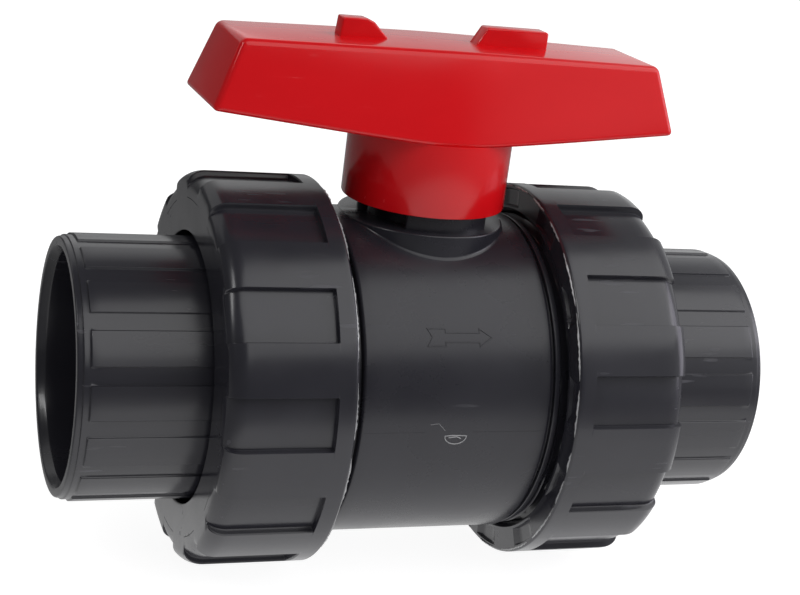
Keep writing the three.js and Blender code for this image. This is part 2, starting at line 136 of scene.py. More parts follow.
BALL_RADIUS = 36.0
SLOT_WIDTH, SLOT_BOTTOM = 10.6, 29.0
STEM_RADIUS = 9.0
STEM_HOLE_RADIUS = 9.4
STEM_FLANGE_RADIUS, STEM_FLANGE_BOTTOM, STEM_FLANGE_TOP = 12.6, 37.0, 40.0
STEM_POCKET_RADIUS, STEM_POCKET_TOP = 13.2, 41.5
STEM_GROOVES = (44.4, 49.6)  # lower edge of each O-ring groove
STEM_GROOVE_WIDTH, STEM_GROOVE_ROOT = 3.0, 6.6
STEM_SHOULDER = 56.8
STEM_SQUARE = 12.6
STEM_TOP = 72.0
STEM_EDGE = 0.3
TANG_WIDTH, TANG_RADIUS, TANG_BOTTOM = 10.0, 12.0, 29.4
SEAT_INNER, SEAT_OUTER, SEAT_BACK, SEAT_GAP = 25.0, 31.0, 27.6, 0.4
CUSHION_INNER, CUSHION_OUTER, CUSHION_FRONT, CUSHION_BACK = 26.0, 30.8, 27.9, 29.9
CARRIER_RADIUS, CARRIER_FACE = 37.2, -46.7
CARRIER_GROOVE_NEAR, CARRIER_GROOVE_FAR, CARRIER_GROOVE_ROOT = -33.0, -36.2, 34.6
CARRIER_NOTCH_REACH, CARRIER_NOTCH_HALF, CARRIER_NOTCH_DEPTH = 30.8, 3.3, 5.5
WASHER_INNER, WASHER_OUTER, WASHER_BOTTOM, WASHER_TOP = 9.5, 12.6, 40.25, 41.25

WING_TOP_HALF, WING_BOTTOM_HALF = 60.5, 67.2
WING_TOP_WIDTH = (16.6, 14.4)  # half widths and heights: at the middle, at the tips
WING_BOTTOM_WIDTH = (22.6, 17.1)
WING_TOP_HEIGHT = (95.8, 95.1)
WING_BOTTOM_HEIGHT = (70.8, 76.2)
WING_BEND = 0.16  # length of the bend at the middle, as a share of the half length
WING_WALL = 2.8
WING_TOP_WALL = 2.0
SKIRT_RADIUS = 23.15
SKIRT_BORE_RADIUS = 20.95
SKIRT_BOTTOM = 51.1
SKIRT_TOP = 71.3
TAB_HALF = 2.75
TAB_TOP = 100.7
HUB_RADIUS, HUB_BOTTOM = 12.5, 57.0
WEB_HALF = 1.1
LONG_WEB_BOTTOM, CROSS_WEB_BOTTOM = 76.5, 78.5
CROSS_WEBS = (-51, -37, 37, 51)
STOP_RIB_CENTRES = (51.5, 231.5)  # degrees from +X
STOP_RIB_SWEEP = (-5, -2.5, 0, 2.5, 5)
STOP_RIB_OUTER, STOP_RIB_INNER, STOP_RIB_TOP = 21.9, 15.8, 66.0
SOCKET_SQUARE = 13.2
CLEAR = 1.0  # how far a cutting tool runs past what it cuts
WING_CLEAR_TOP = 100.0  # above everything on the handle but its tabs' tops


# ---- Mesh helpers ----

def smoothstep(low, high, value):
    t = min(1.0, max(0.0, (value - low) / (high - low)))
    return t * t * (3 - 2 * t)


def finish_piece(obj, node, material, sharp=38):
    """Shades a new piece and ties it to the body of the CAD node that it stands for."""
    mesh = obj.data
    mesh.polygons.foreach_set("use_smooth", [True] * len(mesh.polygons))
    mesh.set_sharp_from_angle(angle=math.radians(sharp))
    mesh.materials.clear()
    mesh.materials.append(material)
    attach(obj, NODE_BODY[node])
    return obj


def mesh_object(name, verts, faces):
    mesh = bpy.data.meshes.new(name)
    mesh.from_pydata([tuple(c * MM for c in v) for v in verts], [], faces)
    mesh.validate()
    mesh.update()
    obj = bpy.data.objects.new(name, mesh)
    bpy.context.scene.collection.objects.link(obj)
    return obj


def outline(corners, arc_step=14.0):
    """Rounds and subdivides a closed outline. Each corner is (x, r, fillet radius, step): the step
    divides the straight run that leaves the corner."""
    count = len(corners)
    runs = []
    for i, (x, r, radius, step) in enumerate(corners):
        here = Vector((x, r))
        before = Vector(corners[i - 1][:2])
        after = Vector(corners[(i + 1) % count][:2])
        back, ahead = (before - here).normalized(), (after - here).normalized()
        inside = math.acos(max(-1.0, min(1.0, back.dot(ahead))))
        if radius <= 0 or inside > math.radians(178):
            runs.append(([here], step))
            continue
        reach = radius / math.tan(inside / 2)
        start, end = here + back * reach, here + ahead * reach
        centre = here + (back + ahead).normalized() * (radius / math.sin(inside / 2))
        turn = math.pi - inside
        pieces = max(2, round(math.degrees(turn) / arc_step))
        a, b = start - centre, end - centre
        arc = []
        for k in range(pieces + 1):
            t = k / pieces
            weight_a = math.sin((1 - t) * turn) / math.sin(turn)
            weight_b = math.sin(t * turn) / math.sin(turn)
            arc.append(centre + a * weight_a + b * weight_b)
        runs.append((arc, step))
    points = []
    for i, (arc, step) in enumerate(runs):
        points.extend(arc)
        last, first = arc[-1], runs[(i + 1) % count][0][0]
        pieces = max(1, math.ceil((first - last).length / step))
        points.extend(last.lerp(first, k / pieces) for k in range(1, pieces))
    return [(p.x, p.y) for p in points]


def ring(name, points, angles, shape=None, side=1, upright=False):
    """A closed ring round the X axis, or round Z if upright. shape(x, r, angle) moves a point of the
    outline; angles are degrees up from -Y. side -1 mirrors the ring to the upstream end."""
    verts, faces = [], []
    rows, count = len(points), len(angles)
    for angle in angles:
        a = math.radians(angle)
        for x, r in points:
            if shape:
                x, r = shape(x, r, angle)
            if upright:
                verts.append((r * math.sin(a), -r * math.cos(a), x))
            else:
                verts.append((side * x, -r * math.cos(a), r * math.sin(a)))
    for i in range(count):
        n = (i + 1) % count
        for j in range(rows):
            k = (j + 1) % rows
            faces.append((i * rows + j, i * rows + k, n * rows + k, n * rows + j))
    obj = mesh_object(name, verts, faces)
    face_outwards(obj)
    return obj


def face_outwards(obj):
    work = bmesh.new()
    work.from_mesh(obj.data)
    bmesh.ops.recalc_face_normals(work, faces=work.faces)
    if work.calc_volume(signed=True) < 0:
        bmesh.ops.reverse_faces(work, faces=work.faces)
    work.to_mesh(obj.data)
    work.free()


def turned_solid(name, points, sides=96):
    """A solid turned round Z from an open outline that starts and ends on the axis."""
    inner = [(z, r) for z, r in points if r > 1e-6]
    verts = [(0, 0, points[0][0])]
    for i in range(sides):
        a = TAU * i / sides
        verts.extend((r * math.cos(a), r * math.sin(a), z) for z, r in inner)
    verts.append((0, 0, points[-1][0]))
    rows, top, faces = len(inner), len(verts) - 1, []
    for i in range(sides):
        here, there = 1 + i * rows, 1 + ((i + 1) % sides) * rows
        faces.append((0, there, here))
        faces.append((top, here + rows - 1, there + rows - 1))
        for j in range(rows - 1):
            faces.append((here + j, there + j, there + j + 1, here + j + 1))
    obj = mesh_object(name, verts, faces)
    face_outwards(obj)
    return obj


def boolean(obj, tool, operation):
    """Joins or cuts obj with tool, which is used up."""
    modifier = obj.modifiers.new("cut", "BOOLEAN")
    modifier.operation = operation
    modifier.solver = "EXACT"
    modifier.object = tool
    graph = bpy.context.evaluated_depsgraph_get()
    made = bpy.data.meshes.new_from_object(obj.evaluated_get(graph))
    obj.modifiers.clear()
    obj.data = made
    bpy.data.objects.remove(tool)
    return obj


def prism(name, corners, low, high, place):
    """A straight prism. place(u, v, w) puts a corner (u, v) at depth w in the frame."""
    count = len(corners)
    verts = [place(u, v, low) for u, v in corners] + [place(u, v, high) for u, v in corners]
    faces = [tuple(range(count)), tuple(range(2 * count - 1, count - 1, -1))]
    faces += [(i, i + count, (i + 1) % count + count, (i + 1) % count) for i in range(count)]
    obj = mesh_object(name, verts, faces)
    face_outwards(obj)
    return obj


def upright(u, v, w):
    return (u, v, w)


def bevel(obj, width, segments, chosen):
    """Rounds the edges for which chosen(midpoint, direction, face normals) is true, in millimetres."""
    work = bmesh.new()
    work.from_mesh(obj.data)
    edges = []
    for edge in work.edges:
        if len(edge.link_faces) != 2:
            continue
        a, b = (v.co / MM for v in edge.verts)
        normals = [f.normal for f in edge.link_faces]
        if normals[0].dot(normals[1]) < 0.93 and chosen((a + b) / 2, (b - a).normalized(), normals):
            edges.append(edge)
    bmesh.ops.bevel(work, geom=edges, offset=width * MM, segments=segments, profile=0.5,
                    affect="EDGES", clamp_overlap=True)
    work.to_mesh(obj.data)
    work.free()
    return obj


def even_angles(count):
    return [360.0 * i / count for i in range(count)]


def stepped_angles(repeats, phase, half_width, wall, flat_steps):
    """Angles round a row of steps: close together across each step's two walls."""
    pitch = 360.0 / repeats
    angles = []
    for k in range(repeats):
        middle = phase + k * pitch
        for low, high, pieces in (
            (-half_width + wall, half_width - wall, flat_steps),
            (half_width - wall, half_width + wall, 5),
            (half_width + wall, pitch - half_width - wall, flat_steps),
            (pitch - half_width - wall, pitch - half_width + wall, 5),
        ):
            angles.extend(middle + low + (high - low) * i / pieces for i in range(pieces))
    return angles


def step_share(angle, repeats, phase, half_width, wall):
    """1 on the steps and 0 between them, with a quick change across each wall."""
    pitch = 360.0 / repeats
    off = abs((angle - phase + pitch / 2) % pitch - pitch / 2)
    return 1 - smoothstep(half_width - wall, half_width + wall, off)


# ---- Materials ----

def node(tree, kind, **values):
    """A shader node with its sockets, or its own settings, given by name."""
    made = tree.nodes.new(kind)
    for key, value in values.items():
        if key in made.inputs:
            made.inputs[key].default_value = value
        else:
            setattr(made, key, value)
    return made


def moulded_plastic(name, dark, light, rough, grain=0.10, scuffs=0.5, specular=0.62, streak=(1, 1, 1)):
    """Moulded plastic: slow colour drift, fine grain in the bump, and sparse scuffs that dull the gloss."""
    material = bpy.data.materials.new(name)
    material.use_nodes = True
    tree = material.node_tree
    shader = tree.nodes["Principled BSDF"]
    shader.inputs["Specular IOR Level"].default_value = specular
    place = tree.nodes.new("ShaderNodeTexCoord")
    stretch = node(tree, "ShaderNodeMapping")
    stretch.inputs["Scale"].default_value = streak
    tree.links.new(place.outputs["Object"], stretch.inputs["Vector"])

    drift = node(tree, "ShaderNodeTexNoise", Scale=26.0, Detail=5.0, Roughness=0.55)
    tree.links.new(stretch.outputs["Vector"], drift.inputs["Vector"])
    ramp = node(tree, "ShaderNodeValToRGB")
    ramp.color_ramp.elements[0].position, ramp.color_ramp.elements[0].color = 0.32, (*dark, 1)
    ramp.color_ramp.elements[1].position, ramp.color_ramp.elements[1].color = 0.70, (*light, 1)
    tree.links.new(drift.outputs["Fac"], ramp.inputs["Fac"])

    # Long thin scuffs: the peaks of two stretched noises, kept only in a few patches.
    patches = node(tree, "ShaderNodeTexNoise", Scale=38.0, Detail=2.0)
    tree.links.new(place.outputs["Object"], patches.inputs["Vector"])
    worn = node(tree, "ShaderNodeMapRange")
    worn.inputs["From Min"].default_value = 0.54
    worn.inputs["From Max"].default_value = 0.66
    tree.links.new(patches.outputs["Fac"], worn.inputs["Value"])
    scratch_map = node(tree, "ShaderNodeMapping")
    scratch_map.inputs["Rotation"].default_value = (0.5, 0.35, 0.8)
    scratch_map.inputs["Scale"].default_value = (1.0, 9.0, 9.0)
    tree.links.new(place.outputs["Object"], scratch_map.inputs["Vector"])
    lines = node(tree, "ShaderNodeTexNoise", Scale=60.0, Detail=1.0)
    tree.links.new(scratch_map.outputs["Vector"], lines.inputs["Vector"])
    thin = node(tree, "ShaderNodeMapRange")
    thin.inputs["From Min"].default_value = 0.655
    thin.inputs["From Max"].default_value = 0.72
    tree.links.new(lines.outputs["Fac"], thin.inputs["Value"])
    scuff = node(tree, "ShaderNodeMath", operation="MULTIPLY")
    tree.links.new(worn.outputs["Result"], scuff.inputs[0])
    tree.links.new(thin.outputs["Result"], scuff.inputs[1])

    pale = node(tree, "ShaderNodeMix", data_type="RGBA")
    strength = node(tree, "ShaderNodeMath", operation="MULTIPLY")
    strength.inputs[1].default_value = scuffs
    tree.links.new(scuff.outputs["Value"], strength.inputs[0])
    tree.links.new(strength.outputs["Value"], pale.inputs["Factor"])
    tree.links.new(ramp.outputs["Color"], pale.inputs["A"])
    pale.inputs["B"].default_value = (*[min(1, c * 2.2 + 0.05) for c in light], 1)
    tree.links.new(pale.outputs["Result"], shader.inputs["Base Color"])

    cloud = node(tree, "ShaderNodeTexNoise", Scale=55.0, Detail=6.0, Roughness=0.6)
    tree.links.new(stretch.outputs["Vector"], cloud.inputs["Vector"])
    gloss = node(tree, "ShaderNodeMapRange")
    gloss.inputs["From Min"].default_value = 0.3
    gloss.inputs["From Max"].default_value = 0.7
    gloss.inputs["To Min"].default_value = rough[0]
    gloss.inputs["To Max"].default_value = rough[1]
    tree.links.new(cloud.outputs["Fac"], gloss.inputs["Value"])
    duller = node(tree, "ShaderNodeMath", operation="MULTIPLY_ADD")
    tree.links.new(scuff.outputs["Value"], duller.inputs[0])
    duller.inputs[1].default_value = 0.25
    tree.links.new(gloss.outputs["Result"], duller.inputs[2])
    tree.links.new(duller.outputs["Value"], shader.inputs["Roughness"])

    fine = node(tree, "ShaderNodeTexNoise", Scale=700.0, Detail=2.0)
    tree.links.new(place.outputs["Object"], fine.inputs["Vector"])
    wavy = node(tree, "ShaderNodeTexNoise", Scale=70.0, Detail=2.0)
    tree.links.new(stretch.outputs["Vector"], wavy.inputs["Vector"])
    height = node(tree, "ShaderNodeMath", operation="MULTIPLY_ADD")
    tree.links.new(fine.outputs["Fac"], height.inputs[0])
    height.inputs[1].default_value = 0.06
    tree.links.new(wavy.outputs["Fac"], height.inputs[2])
    bump = node(tree, "ShaderNodeBump", Strength=grain, Distance=0.0004)
    tree.links.new(height.outputs["Value"], bump.inputs["Height"])
    tree.links.new(bump.outputs["Normal"], shader.inputs["Normal"])
    return material


PVC_DARK, PVC_LIGHT = (0.0190, 0.0186, 0.0245), (0.0260, 0.0256, 0.0330)
BALL_DARK, BALL_LIGHT = (0.05, 0.05, 0.055), (0.065, 0.065, 0.07)
RUBBER_DARK, RUBBER_LIGHT = (0.006, 0.006, 0.006), (0.010, 0.010, 0.010)
PTFE_DARK, PTFE_LIGHT = (0.62, 0.61, 0.57), (0.70, 0.69, 0.66)
RED_DARK, RED_LIGHT = (0.74, 0.006, 0.010), (0.82, 0.008, 0.013)
FLASH_DARK, FLASH_LIGHT = (0.14, 0.14, 0.145), (0.60, 0.60, 0.61)
SCAR_DARK, SCAR_LIGHT = (0.30, 0.30, 0.31), (0.62, 0.62, 0.63)
MATERIALS = {
    "body_pvc": moulded_plastic("body_pvc", PVC_DARK, PVC_LIGHT, (0.24, 0.32), grain=0.025,
                                scuffs=0.22, specular=0.45),
    "ball_pvc": moulded_plastic("ball_pvc", BALL_DARK, BALL_LIGHT, (0.12, 0.18)),
    "stem_pvc": moulded_plastic("stem_pvc", PVC_DARK, PVC_LIGHT, (0.35, 0.45)),
    "o_ring_rubber": moulded_plastic("o_ring_rubber", RUBBER_DARK, RUBBER_LIGHT, (0.5, 0.65)),
    "seat_ptfe": moulded_plastic("seat_ptfe", PTFE_DARK, PTFE_LIGHT, (0.40, 0.50)),
    "carrier_pvc": moulded_plastic("carrier_pvc", PVC_DARK, PVC_LIGHT, (0.32, 0.42)),
    "connector_pvc": moulded_plastic("connector_pvc", PVC_DARK, PVC_LIGHT, (0.20, 0.28),
                                     scuffs=0.55, streak=(0.35, 1, 1)),
    "nut_pvc": moulded_plastic("nut_pvc", PVC_DARK, PVC_LIGHT, (0.19, 0.27), grain=0.08,
                               scuffs=0.45, specular=0.55),
    "handle_abs": moulded_plastic("handle_abs", RED_DARK, RED_LIGHT, (0.12, 0.18), grain=0.035,
                                  scuffs=0.25, specular=0.42, streak=(0.5, 1, 1)),
}
FLASH_PVC = moulded_plastic("flash_pvc", FLASH_DARK, FLASH_LIGHT, (0.25, 0.40), grain=0.2)
PALE_SCAR = moulded_plastic("pale_scar", SCAR_DARK, SCAR_LIGHT, (0.40, 0.60), grain=0.2)
NODE_SLOT = {part["node"]: part["material_slot"] for part in frame["record"]["subparts"]}
NODE_BODY = {
    member: name for name, members in frame["record"]["behaviour"]["bodies"].items() for member in members
}


def stands_for(obj, cad_node, sharp=38):
    """Finishes a piece that replaces one CAD node."""
    slot = NODE_SLOT[cad_node]
    finish_piece(obj, cad_node, MATERIALS[slot], sharp)
    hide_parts(cad_node)
    return obj


# ---- Camera, floor and light ----

FLOOR_GLOW = 0.80
ROOM_GLOW = 0.11
BACK_GLOW = 0.45
RIGHT_GLOW = 0.55
FRONT_POWER = 5.2
RIGHT_POWER = 2.4
LEFT_POWER = 1.5
BACK_POWER = 1.3
RIGHT_TINT = (0.90, 0.86, 1.0)
FLOOR_WHITE = 0.92  # the glow that the camera sees
FLOOR_FAR_GLOW = 0.04
GLOW_CENTRE = (0.04, -0.11)
GLOW_FULL, GLOW_GONE = 0.13, 0.25  # distances from the glow's centre
FLOOR_HALF = 4.0
FLOOR_GAP = 0.0006


VIEW_AZIMUTH, VIEW_ELEVATION, VIEW_ROLL = -21.549, 17.068, 7.494  # degrees
VIEW_DISTANCE = 0.49834
VIEW_ACROSS, VIEW_UP = 0.00015, 0.02009  # how far the camera stands from the line to the ball's centre
LENS = 76.77
SENSOR_WIDTH = 36.0


def add_camera():
    """A view from 21.5 degrees left of square-on and 17 above, with the picture tilted 7.5."""
    azimuth, elevation, roll = (math.radians(a) for a in (VIEW_AZIMUTH, VIEW_ELEVATION, VIEW_ROLL))
    back = Vector((math.sin(azimuth) * math.cos(elevation),
                   -math.cos(azimuth) * math.cos(elevation), math.sin(elevation)))
    right = Vector((math.cos(azimuth), math.sin(azimuth), 0))
    up = back.cross(right)
    tilted_right = right * math.cos(roll) + up * math.sin(roll)
    tilted_up = up * math.cos(roll) - right * math.sin(roll)
    data = bpy.data.cameras.new("camera")
    data.sensor_width = SENSOR_WIDTH
    data.lens = LENS
    camera = bpy.data.objects.new("camera", data)
    bpy.context.scene.collection.objects.link(camera)
    place = back * VIEW_DISTANCE + tilted_right * VIEW_ACROSS + tilted_up * VIEW_UP
    camera.matrix_world = Matrix((
        (tilted_right.x, tilted_up.x, back.x, place.x),
        (tilted_right.y, tilted_up.y, back.y, place.y),
        (tilted_right.z, tilted_up.z, back.z, place.z),
        (0, 0, 0, 1),
    ))
    data.clip_start, data.clip_end = 0.01, 50
    bpy.context.scene.camera = camera


def math_node(tree, operation, first, second=None, third=None):
    """A Math node fed by numbers or by other nodes' outputs; returns its output."""
    made = node(tree, "ShaderNodeMath", operation=operation)
    for i, value in enumerate((first, second, third)):
        if value is None:
            continue
        if isinstance(value, (int, float)):
            made.inputs[i].default_value = value
        else:
            tree.links.new(value, made.inputs[i])
    return made.outputs["Value"]


def soft_step(tree, value, low, high):
    made = node(tree, "ShaderNodeMapRange", interpolation_type="SMOOTHSTEP")
    made.inputs["From Min"].default_value = low
    made.inputs["From Max"].default_value = high
    tree.links.new(value, made.inputs["Value"])
    return made.outputs["Result"]


def add_floor():
    """A pale sweep. It looks white all over, and lights the valve from below round where it stands."""
    half = FLOOR_HALF
    verts = [(-half, -half, 0), (half, -half, 0), (half, half, 0), (-half, half, 0)]
    mesh = bpy.data.meshes.new("floor")
    mesh.from_pydata(verts, [], [(0, 1, 2, 3)])
    floor = bpy.data.objects.new("floor", mesh)
    floor.location.z = cad_box[0][2] - FLOOR_GAP
    bpy.context.scene.collection.objects.link(floor)
    material = bpy.data.materials.new("floor_white")
    material.use_nodes = True
    tree = material.node_tree
    shader = tree.nodes["Principled BSDF"]
    shader.inputs["Roughness"].default_value = 0.9
    shader.inputs["Specular IOR Level"].default_value = 0.1
    shader.inputs["Base Color"].default_value = (0.35, 0.35, 0.35, 1)
    place = tree.nodes.new("ShaderNodeTexCoord")
    offset = node(tree, "ShaderNodeMapping")
    offset.inputs["Location"].default_value = (-GLOW_CENTRE[0], -GLOW_CENTRE[1], 0)
    tree.links.new(place.outputs["Object"], offset.inputs["Vector"])
    reach = node(tree, "ShaderNodeVectorMath", operation="LENGTH")
    tree.links.new(offset.outputs["Vector"], reach.inputs[0])
    near = math_node(tree, "SUBTRACT", 1.0, soft_step(tree, reach.outputs["Value"], GLOW_FULL, GLOW_GONE))
    glow = math_node(tree, "MULTIPLY_ADD", near, FLOOR_GLOW, FLOOR_FAR_GLOW)
    path = tree.nodes.new("ShaderNodeLightPath")
    seen = path.outputs["Is Camera Ray"]
    white = math_node(tree, "MULTIPLY", seen, FLOOR_WHITE)
    other = math_node(tree, "MULTIPLY", math_node(tree, "SUBTRACT", 1.0, seen), glow)
    strength = math_node(tree, "ADD", white, other)
    tree.links.new(strength, shader.inputs["Emission Strength"])
    shader.inputs["Emission Color"].default_value = (1, 1, 1, 1)
    mesh.materials.append(material)


def add_area(name, position, target, size, power, tint=(1, 1, 1)):
    data = bpy.data.lights.new(name, "AREA")
    data.shape = "RECTANGLE"
    data.size, data.size_y = size
    data.energy = power
    data.color = tint
    light = bpy.data.objects.new(name, data)
    light.location = position
    aim = Vector(target) - Vector(position)
    light.rotation_mode = "QUATERNION"
    light.rotation_quaternion = aim.to_track_quat("-Z", "Y")
    bpy.context.scene.collection.objects.link(light)


def add_light():
    """A dim room that is brighter behind and to the right, and four softboxes."""
    world = bpy.data.worlds.new("studio")
    bpy.context.scene.world = world
    world.use_nodes = True
    tree = world.node_tree
    background = tree.nodes["Background"]
    place = tree.nodes.new("ShaderNodeTexCoord")
    split = tree.nodes.new("ShaderNodeSeparateXYZ")
    tree.links.new(place.outputs["Generated"], split.inputs["Vector"])
    behind = soft_step(tree, split.outputs["Y"], 0.45, 0.85)
    behind = math_node(tree, "MULTIPLY", behind, soft_step(tree, split.outputs["X"], -0.15, 0.2))
    to_right = soft_step(tree, split.outputs["X"], 0.38, 0.58)
    back_glow = math_node(tree, "MULTIPLY", behind, BACK_GLOW)
    total = math_node(tree, "ADD", math_node(tree, "MULTIPLY", to_right, RIGHT_GLOW), back_glow)
    path = tree.nodes.new("ShaderNodeLightPath")
    total = math_node(tree, "ADD", total, ROOM_GLOW)
    total = math_node(tree, "MAXIMUM", total, path.outputs["Is Camera Ray"])
    tree.links.new(total, background.inputs["Strength"])
    background.inputs["Color"].default_value = (0.98, 0.99, 1.0, 1)
    add_area("front_softbox", (0.36, -0.50, 0.76), (0, 0, 0.02), (1.3, 0.85), FRONT_POWER)
    add_area("left_softbox", (-0.78, -0.26, 0.70), (-0.03, 0, 0), (0.14, 0.45), LEFT_POWER)
    add_area("back_softbox", (-0.25, 0.75, 0.65), (0, 0, 0), (1.2, 0.8), BACK_POWER)
    add_area("right_softbox", (0.95, -0.25, 0.35), (0, 0, 0.03), (0.5, 0.7), RIGHT_POWER, RIGHT_TINT)


# ---- Union nuts ----

def nut(side_name, side):
    phase = GRIP_PHASE[side_name]
    shoulder = NUT_OUTER_END - NUT_SHOULDER_START
    arc = [math.radians(10 * k) for k in range(1, 9)]
    points = outline([
        (NUT_INNER_END, NUT_RADIUS - NUT_EDGE, 0.35, 0.8),
        (NUT_INNER_END + NUT_EDGE, NUT_RADIUS, 0.3, 1.1),
        (GRIP_RIM_END - 0.25, NUT_RADIUS, 0, 0.09),
        (GRIP_RIM_END + 0.35, NUT_RADIUS, 0, 2.4),
        (NUT_SHOULDER_START, NUT_RADIUS, 0, 2.4),
        *[(NUT_SHOULDER_START + shoulder * math.sin(t),
           NUT_FACE_RADIUS + NUT_SHOULDER_DROP * math.cos(t), 0, 2.4) for t in arc],
        (NUT_OUTER_END, NUT_FACE_RADIUS, 0, 1.3),
        (NUT_OUTER_END, NUT_HOLE_RADIUS, 0.5, 2.5),
        (NUT_WALL_FACE, NUT_HOLE_RADIUS, 0.3, 2.5),
        (NUT_WALL_FACE, FEMALE_ROOT, 0.3, 0.3),
        (NUT_INNER_END + NUT_MOUTH_LENGTH, FEMALE_ROOT, 0, 1.5),
        (NUT_INNER_END, NUT_MOUTH_RADIUS, 0, 0.35),
    ])

    def shape(x, r, angle):
        recess = step_share(angle, GRIP_COUNT, phase, GRIP_HALF_WIDTH, GRIP_WALL)
        if r > NUT_MOUTH_RADIUS + 0.3 and x > GRIP_RIM_END - 0.3:
            along = smoothstep(GRIP_RIM_END - 0.15, GRIP_RIM_END + 0.25, x)
            r -= GRIP_DEPTH * recess * along * smoothstep(45.0, 50.0, r)
        if x < NUT_INNER_END + 0.02 and 48.0 < r < 54.0:
            pocket = step_share(angle, GRIP_COUNT, phase + 0.3, FACE_POCKET_HALF_WIDTH, GRIP_WALL)
            depth = smoothstep(FACE_POCKET_INNER, FACE_POCKET_INNER + 0.4, r)
            depth *= 1 - smoothstep(FACE_POCKET_OUTER - 0.4, FACE_POCKET_OUTER, r)
            x += FACE_POCKET_DEPTH * pocket * depth
        if r < 47.0 and x < 55.0:
            turn = (side * x / THREAD_PITCH + angle / 360.0) % 1.0
            crest_off = abs(turn - 0.5)
            tooth = 1 - smoothstep(TOOTH_FLAT, TOOTH_FOOT, crest_off)
            fade = smoothstep(33.2, 35.6, x) * (1 - smoothstep(52.5, 54.5, x))
            r += (FEMALE_CREST - FEMALE_ROOT) * tooth * fade
        return x, r

    angles = stepped_angles(GRIP_COUNT, phase, GRIP_HALF_WIDTH, GRIP_WALL, 6)
    name = f"union_nut_{side_name}"
    stands_for(ring(f"{name}_shell", points, angles, shape, side), name)


def nut_flash(side_name, side):
    """Broken, uneven moulding flash along the nut's edge beside the barrel."""
    noise = random.Random(FLASH_SEED[side_name])
    runs = []
    angle = 0.0
    while angle < 350:
        length = noise.uniform(8, 26)
        runs.append((angle, min(length, 355 - angle)))
        angle += length + noise.uniform(1.5, 9)
    verts, faces = [], []
    for start, length in runs:
        steps = max(4, round(length / 0.7))
        base = len(verts)
        for k in range(steps + 1):
            a = math.radians(start + length * k / steps)
            taper = min(1.0, 5 * k / steps, 5 * (1 - k / steps))
            height = taper * noise.uniform(0.12, 0.42)
            r = FLASH_RADIUS + noise.uniform(-0.07, 0.07)
            root, tip = NUT_INNER_END + FLASH_ROOT, NUT_INNER_END - height
            for x, radius in ((root, r - 0.17), (tip, r - 0.13), (tip, r + 0.13), (root, r + 0.19)):
                verts.append((side * x, -radius * math.cos(a), radius * math.sin(a)))
        for k in range(steps):
            for j in range(4):
                n = (j + 1) % 4
                a0, b0 = base + k * 4, base + (k + 1) * 4
                faces.append((a0 + j, a0 + n, b0 + n, b0 + j))
        end = base + steps * 4
        faces += [(base, base + 3, base + 2, base + 1), (end, end + 1, end + 2, end + 3)]
    obj = mesh_object(f"nut_flash_{side_name}", verts, faces)
    face_outwards(obj)
    finish_piece(obj, f"union_nut_{side_name}", FLASH_PVC, 40)


# ---- End connectors ----

def connector(side_name, side):
    phase = PAD_PHASE[side_name]
    points = outline([
        (FLANGE_FACE, FLANGE_RADIUS, 0.4, 2.5),
        (FLANGE_BACK, FLANGE_RADIUS, 0.4, 2.5),
        (FLANGE_BACK, TAIL_RADIUS, 0.5, 2.5),
        (PAD_END - 0.3, TAIL_RADIUS, 0, 0.1),
        (PAD_END + 0.3, TAIL_RADIUS, 0, 1.2),
        (HALF_LENGTH - 1.7, TAIL_RADIUS, 0.1, 0.5),
        (HALF_LENGTH - 1.5, TAIL_RADIUS - 0.35, 0.1, 0.5),
        (HALF_LENGTH, TAIL_RADIUS - 0.6, 0.5, 0.9),
        (HALF_LENGTH, SOCKET_RADIUS + 1.5, 0.7, 0.8),
        (HALF_LENGTH - 2.4, SOCKET_RADIUS + 0.1, 0.8, 2.5),
        (SOCKET_FLOOR, SOCKET_RADIUS - 0.25, 0.8, 1.5),
        (SOCKET_FLOOR, PASSAGE_RADIUS, 0.5, 2.5),
        (FLANGE_FACE, PASSAGE_RADIUS, 0.5, 2.5),
    ])

    def shape(x, r, angle):
        if r > TAIL_RADIUS - 0.1 and FLANGE_BACK + 0.2 < x < HALF_LENGTH - 2:
            raised = step_share(angle, PAD_COUNT, phase, PAD_WIDTH / 2, PAD_WALL)
            along = 1 - smoothstep(PAD_END - 0.25, PAD_END + 0.25, x)
            r += PAD_HEIGHT * raised * along
        return x, r

    angles = stepped_angles(PAD_COUNT, phase, PAD_WIDTH / 2, PAD_WALL, 5)
    name = f"end_connector_{side_name}"
    stands_for(ring(f"{name}_shell", points, angles, shape, side), name)


# ---- Body ----

def pad_foot_points(azimuth):
    """Section of the round pad at one direction round the stem: out along the barrel through a small
    fillet, up the wall and over the rim. Returns (distance from the stem axis, height) pairs."""
    across = abs(math.cos(azimuth))

    def barrel_height(distance):
        return math.sqrt(BARREL_RADIUS ** 2 - (distance * across) ** 2)

    foot = barrel_height(PLATFORM_RADIUS)
    room = max(0.0, PLATFORM_TOP - PLATFORM_RIM - foot)
    size = min(PLATFORM_FILLET, max(0.05, room * 0.8))
    start = PLATFORM_RADIUS + size
    points = [(start + 0.6, barrel_height(start + 0.6) - 0.12), (start, barrel_height(start) - 0.01)]
    steps = 6
    for k in range(1, steps + 1):
        share = k / steps
        curve = math.sin(math.pi / 2 * share)
        distance = start - size * curve
        straight = barrel_height(start) * (1 - share) + (foot + size) * share
        points.append((distance, max(barrel_height(distance), straight - size * (curve - share) * 0.35)))
    top_wall = max(points[-1][1] + 0.02, PLATFORM_TOP - PLATFORM_RIM)
    points.append((PLATFORM_RADIUS, top_wall))
    steps = 5
    for k in range(1, steps + 1):
        t = math.pi / 2 * k / steps
        distance = PLATFORM_RADIUS - PLATFORM_RIM * (1 - math.cos(t))
        points.append((distance, top_wall + (PLATFORM_TOP - top_wall) * math.sin(t)))
    return points


